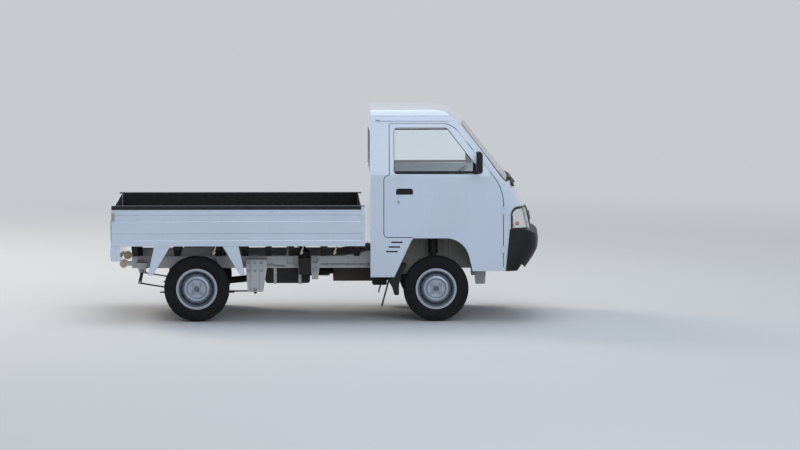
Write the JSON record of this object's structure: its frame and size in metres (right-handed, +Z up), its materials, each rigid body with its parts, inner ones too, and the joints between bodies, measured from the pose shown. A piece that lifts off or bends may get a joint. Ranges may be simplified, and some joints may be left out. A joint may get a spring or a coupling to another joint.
{
  "type": "kei truck",
  "caption": "Small cab-over flat-bed truck with drop-down tailgate, opening doors, steered front wheels and leaf-sprung rear axle.",
  "frame": {"origin": "on the ground, below the middle of the truck's box", "axes": "+X is the way the truck drives, +Y is to its left, +Z is up"},
  "size_m": [3.7999, 1.83, 1.8829],
  "materials": {
    "body_paint": "gloss white paint",
    "black_paint": "satin black paint on the chassis",
    "bed_liner": "coarse black load-bed liner",
    "black_plastic": "grained black plastic",
    "glass": "clear, faintly green",
    "lamp_lens": "clear lamp cover",
    "lamp_reflector": "bright reflector with black surround",
    "tail_lens": "red lamp plastic",
    "wheel_silver": "silver wheel paint",
    "tyre": "black rubber with road dust",
    "bare_metal": "weathered cast and forged parts",
    "exhaust_metal": "heat-stained steel",
    "cabin_plastic": "dark grey grained cabin plastic",
    "floor_mat": "ribbed floor mat on painted sheet",
    "seat_fabric": "dark grey woven cloth"
  },
  "bodies": {
    "chassis": {"bed_floor": "body_paint", "bed_headboard": "body_paint", "bed_liner": "bed_liner", "bed_sides": "body_paint", "cab_fittings": "cabin_plastic", "cab_floor": "floor_mat", "cab_glass": "glass", "cab_rear_wall": "body_paint", "cab_roof": "body_paint", "cab_sides": "body_paint", "chassis_crossbars": "black_paint", "chassis_rails": "body_paint", "dashboard": "cabin_plastic", "engine_and_gearbox": "bare_metal", "exhaust": "exhaust_metal", "front_bumper": "black_plastic", "front_panel": "body_paint", "front_subframe": "black_paint", "fuel_tank": "black_paint", "headlamp_lenses": "lamp_lens", "headlamps": "lamp_reflector", "leaf_springs": "black_paint", "mudguards": "body_paint", "propshaft": "black_paint", "rear_axle": "black_paint", "rear_panel": "body_paint", "seats": "seat_fabric", "tail_lamps": "tail_lens", "wheelhouses": "black_paint", "wipers": "black_plastic"},
    "door_right": {"door_right": "body_paint", "door_glass_right": "glass", "door_fittings_right": "black_plastic"},
    "door_left": {"door_left": "body_paint", "door_glass_left": "glass", "door_fittings_left": "black_plastic"},
    "tailgate": {"tailgate": "body_paint"},
    "steering_wheel": {"steering_wheel": "black_plastic"},
    "steering_rack": {"steering_rack": "bare_metal"},
    "knuckle_right": {"knuckle_right": "bare_metal"},
    "knuckle_left": {"knuckle_left": "bare_metal"},
    "road_wheel_front_right": {"wheel_front_right": "wheel_silver", "tyre_front_right": "tyre"},
    "road_wheel_front_left": {"wheel_front_left": "wheel_silver", "tyre_front_left": "tyre"},
    "road_wheel_rear_right": {"wheel_rear_right": "wheel_silver", "tyre_rear_right": "tyre"},
    "road_wheel_rear_left": {"wheel_rear_left": "wheel_silver", "tyre_rear_left": "tyre"}
  },
  "joints": [
    {"name": "door_right_open", "type": "hinge", "parent": "chassis", "child": "door_right", "pos_m": [1.555, -0.75, 1], "axis": [0, 0, 1], "range_deg": [0, 68]},
    {"name": "door_left_open", "type": "hinge", "parent": "chassis", "child": "door_left", "pos_m": [1.555, 0.75, 1], "axis": [0, 0, -1], "range_deg": [0, 68]},
    {"name": "tailgate_open", "type": "hinge", "parent": "chassis", "child": "tailgate", "pos_m": [-1.892, 0, 0.708], "axis": [0, -1, 0], "range_deg": [0, 90]},
    {"name": "steering_wheel_turn", "type": "hinge", "parent": "chassis", "child": "steering_wheel", "pos_m": [1.114, -0.37, 1.225], "axis": [-0.7071, 0, 0.7071], "range_deg": [-540, 540]},
    {"name": "rack_slide", "type": "slide", "parent": "chassis", "child": "steering_rack", "axis": [0, 1, 0], "range_m": [-0.052, 0.052]},
    {"name": "steer_right", "type": "hinge", "parent": "chassis", "child": "knuckle_right", "pos_m": [0.964, -0.6, 0.226], "axis": [-0.0502, 0.1805, 0.9823], "range_deg": [-30, 30]},
    {"name": "steer_left", "type": "hinge", "parent": "chassis", "child": "knuckle_left", "pos_m": [0.964, 0.6, 0.226], "axis": [-0.0502, -0.1805, 0.9823], "range_deg": [-30, 30]},
    {"name": "wheel_spin_front_right", "type": "hinge", "parent": "knuckle_right", "child": "road_wheel_front_right", "pos_m": [0.964, -0.652, 0.2885], "axis": [0, 1, 0], "continuous": true},
    {"name": "wheel_spin_front_left", "type": "hinge", "parent": "knuckle_left", "child": "road_wheel_front_left", "pos_m": [0.964, 0.652, 0.2885], "axis": [0, 1, 0], "continuous": true},
    {"name": "wheel_spin_rear_right", "type": "hinge", "parent": "chassis", "child": "road_wheel_rear_right", "pos_m": [-1.146, -0.65, 0.2885], "axis": [0, 1, 0], "continuous": true},
    {"name": "wheel_spin_rear_left", "type": "hinge", "parent": "chassis", "child": "road_wheel_rear_left", "pos_m": [-1.146, 0.65, 0.2885], "axis": [0, 1, 0], "continuous": true}
  ],
  "couplings": [
    {"joint": "steer_right", "follows": "steering_wheel_turn", "ratio": 0.05555},
    {"joint": "steer_left", "follows": "steering_wheel_turn", "ratio": 0.05555},
    {"joint": "rack_slide", "follows": "steering_wheel_turn", "m_per_rad": 0.005418}
  ]
}
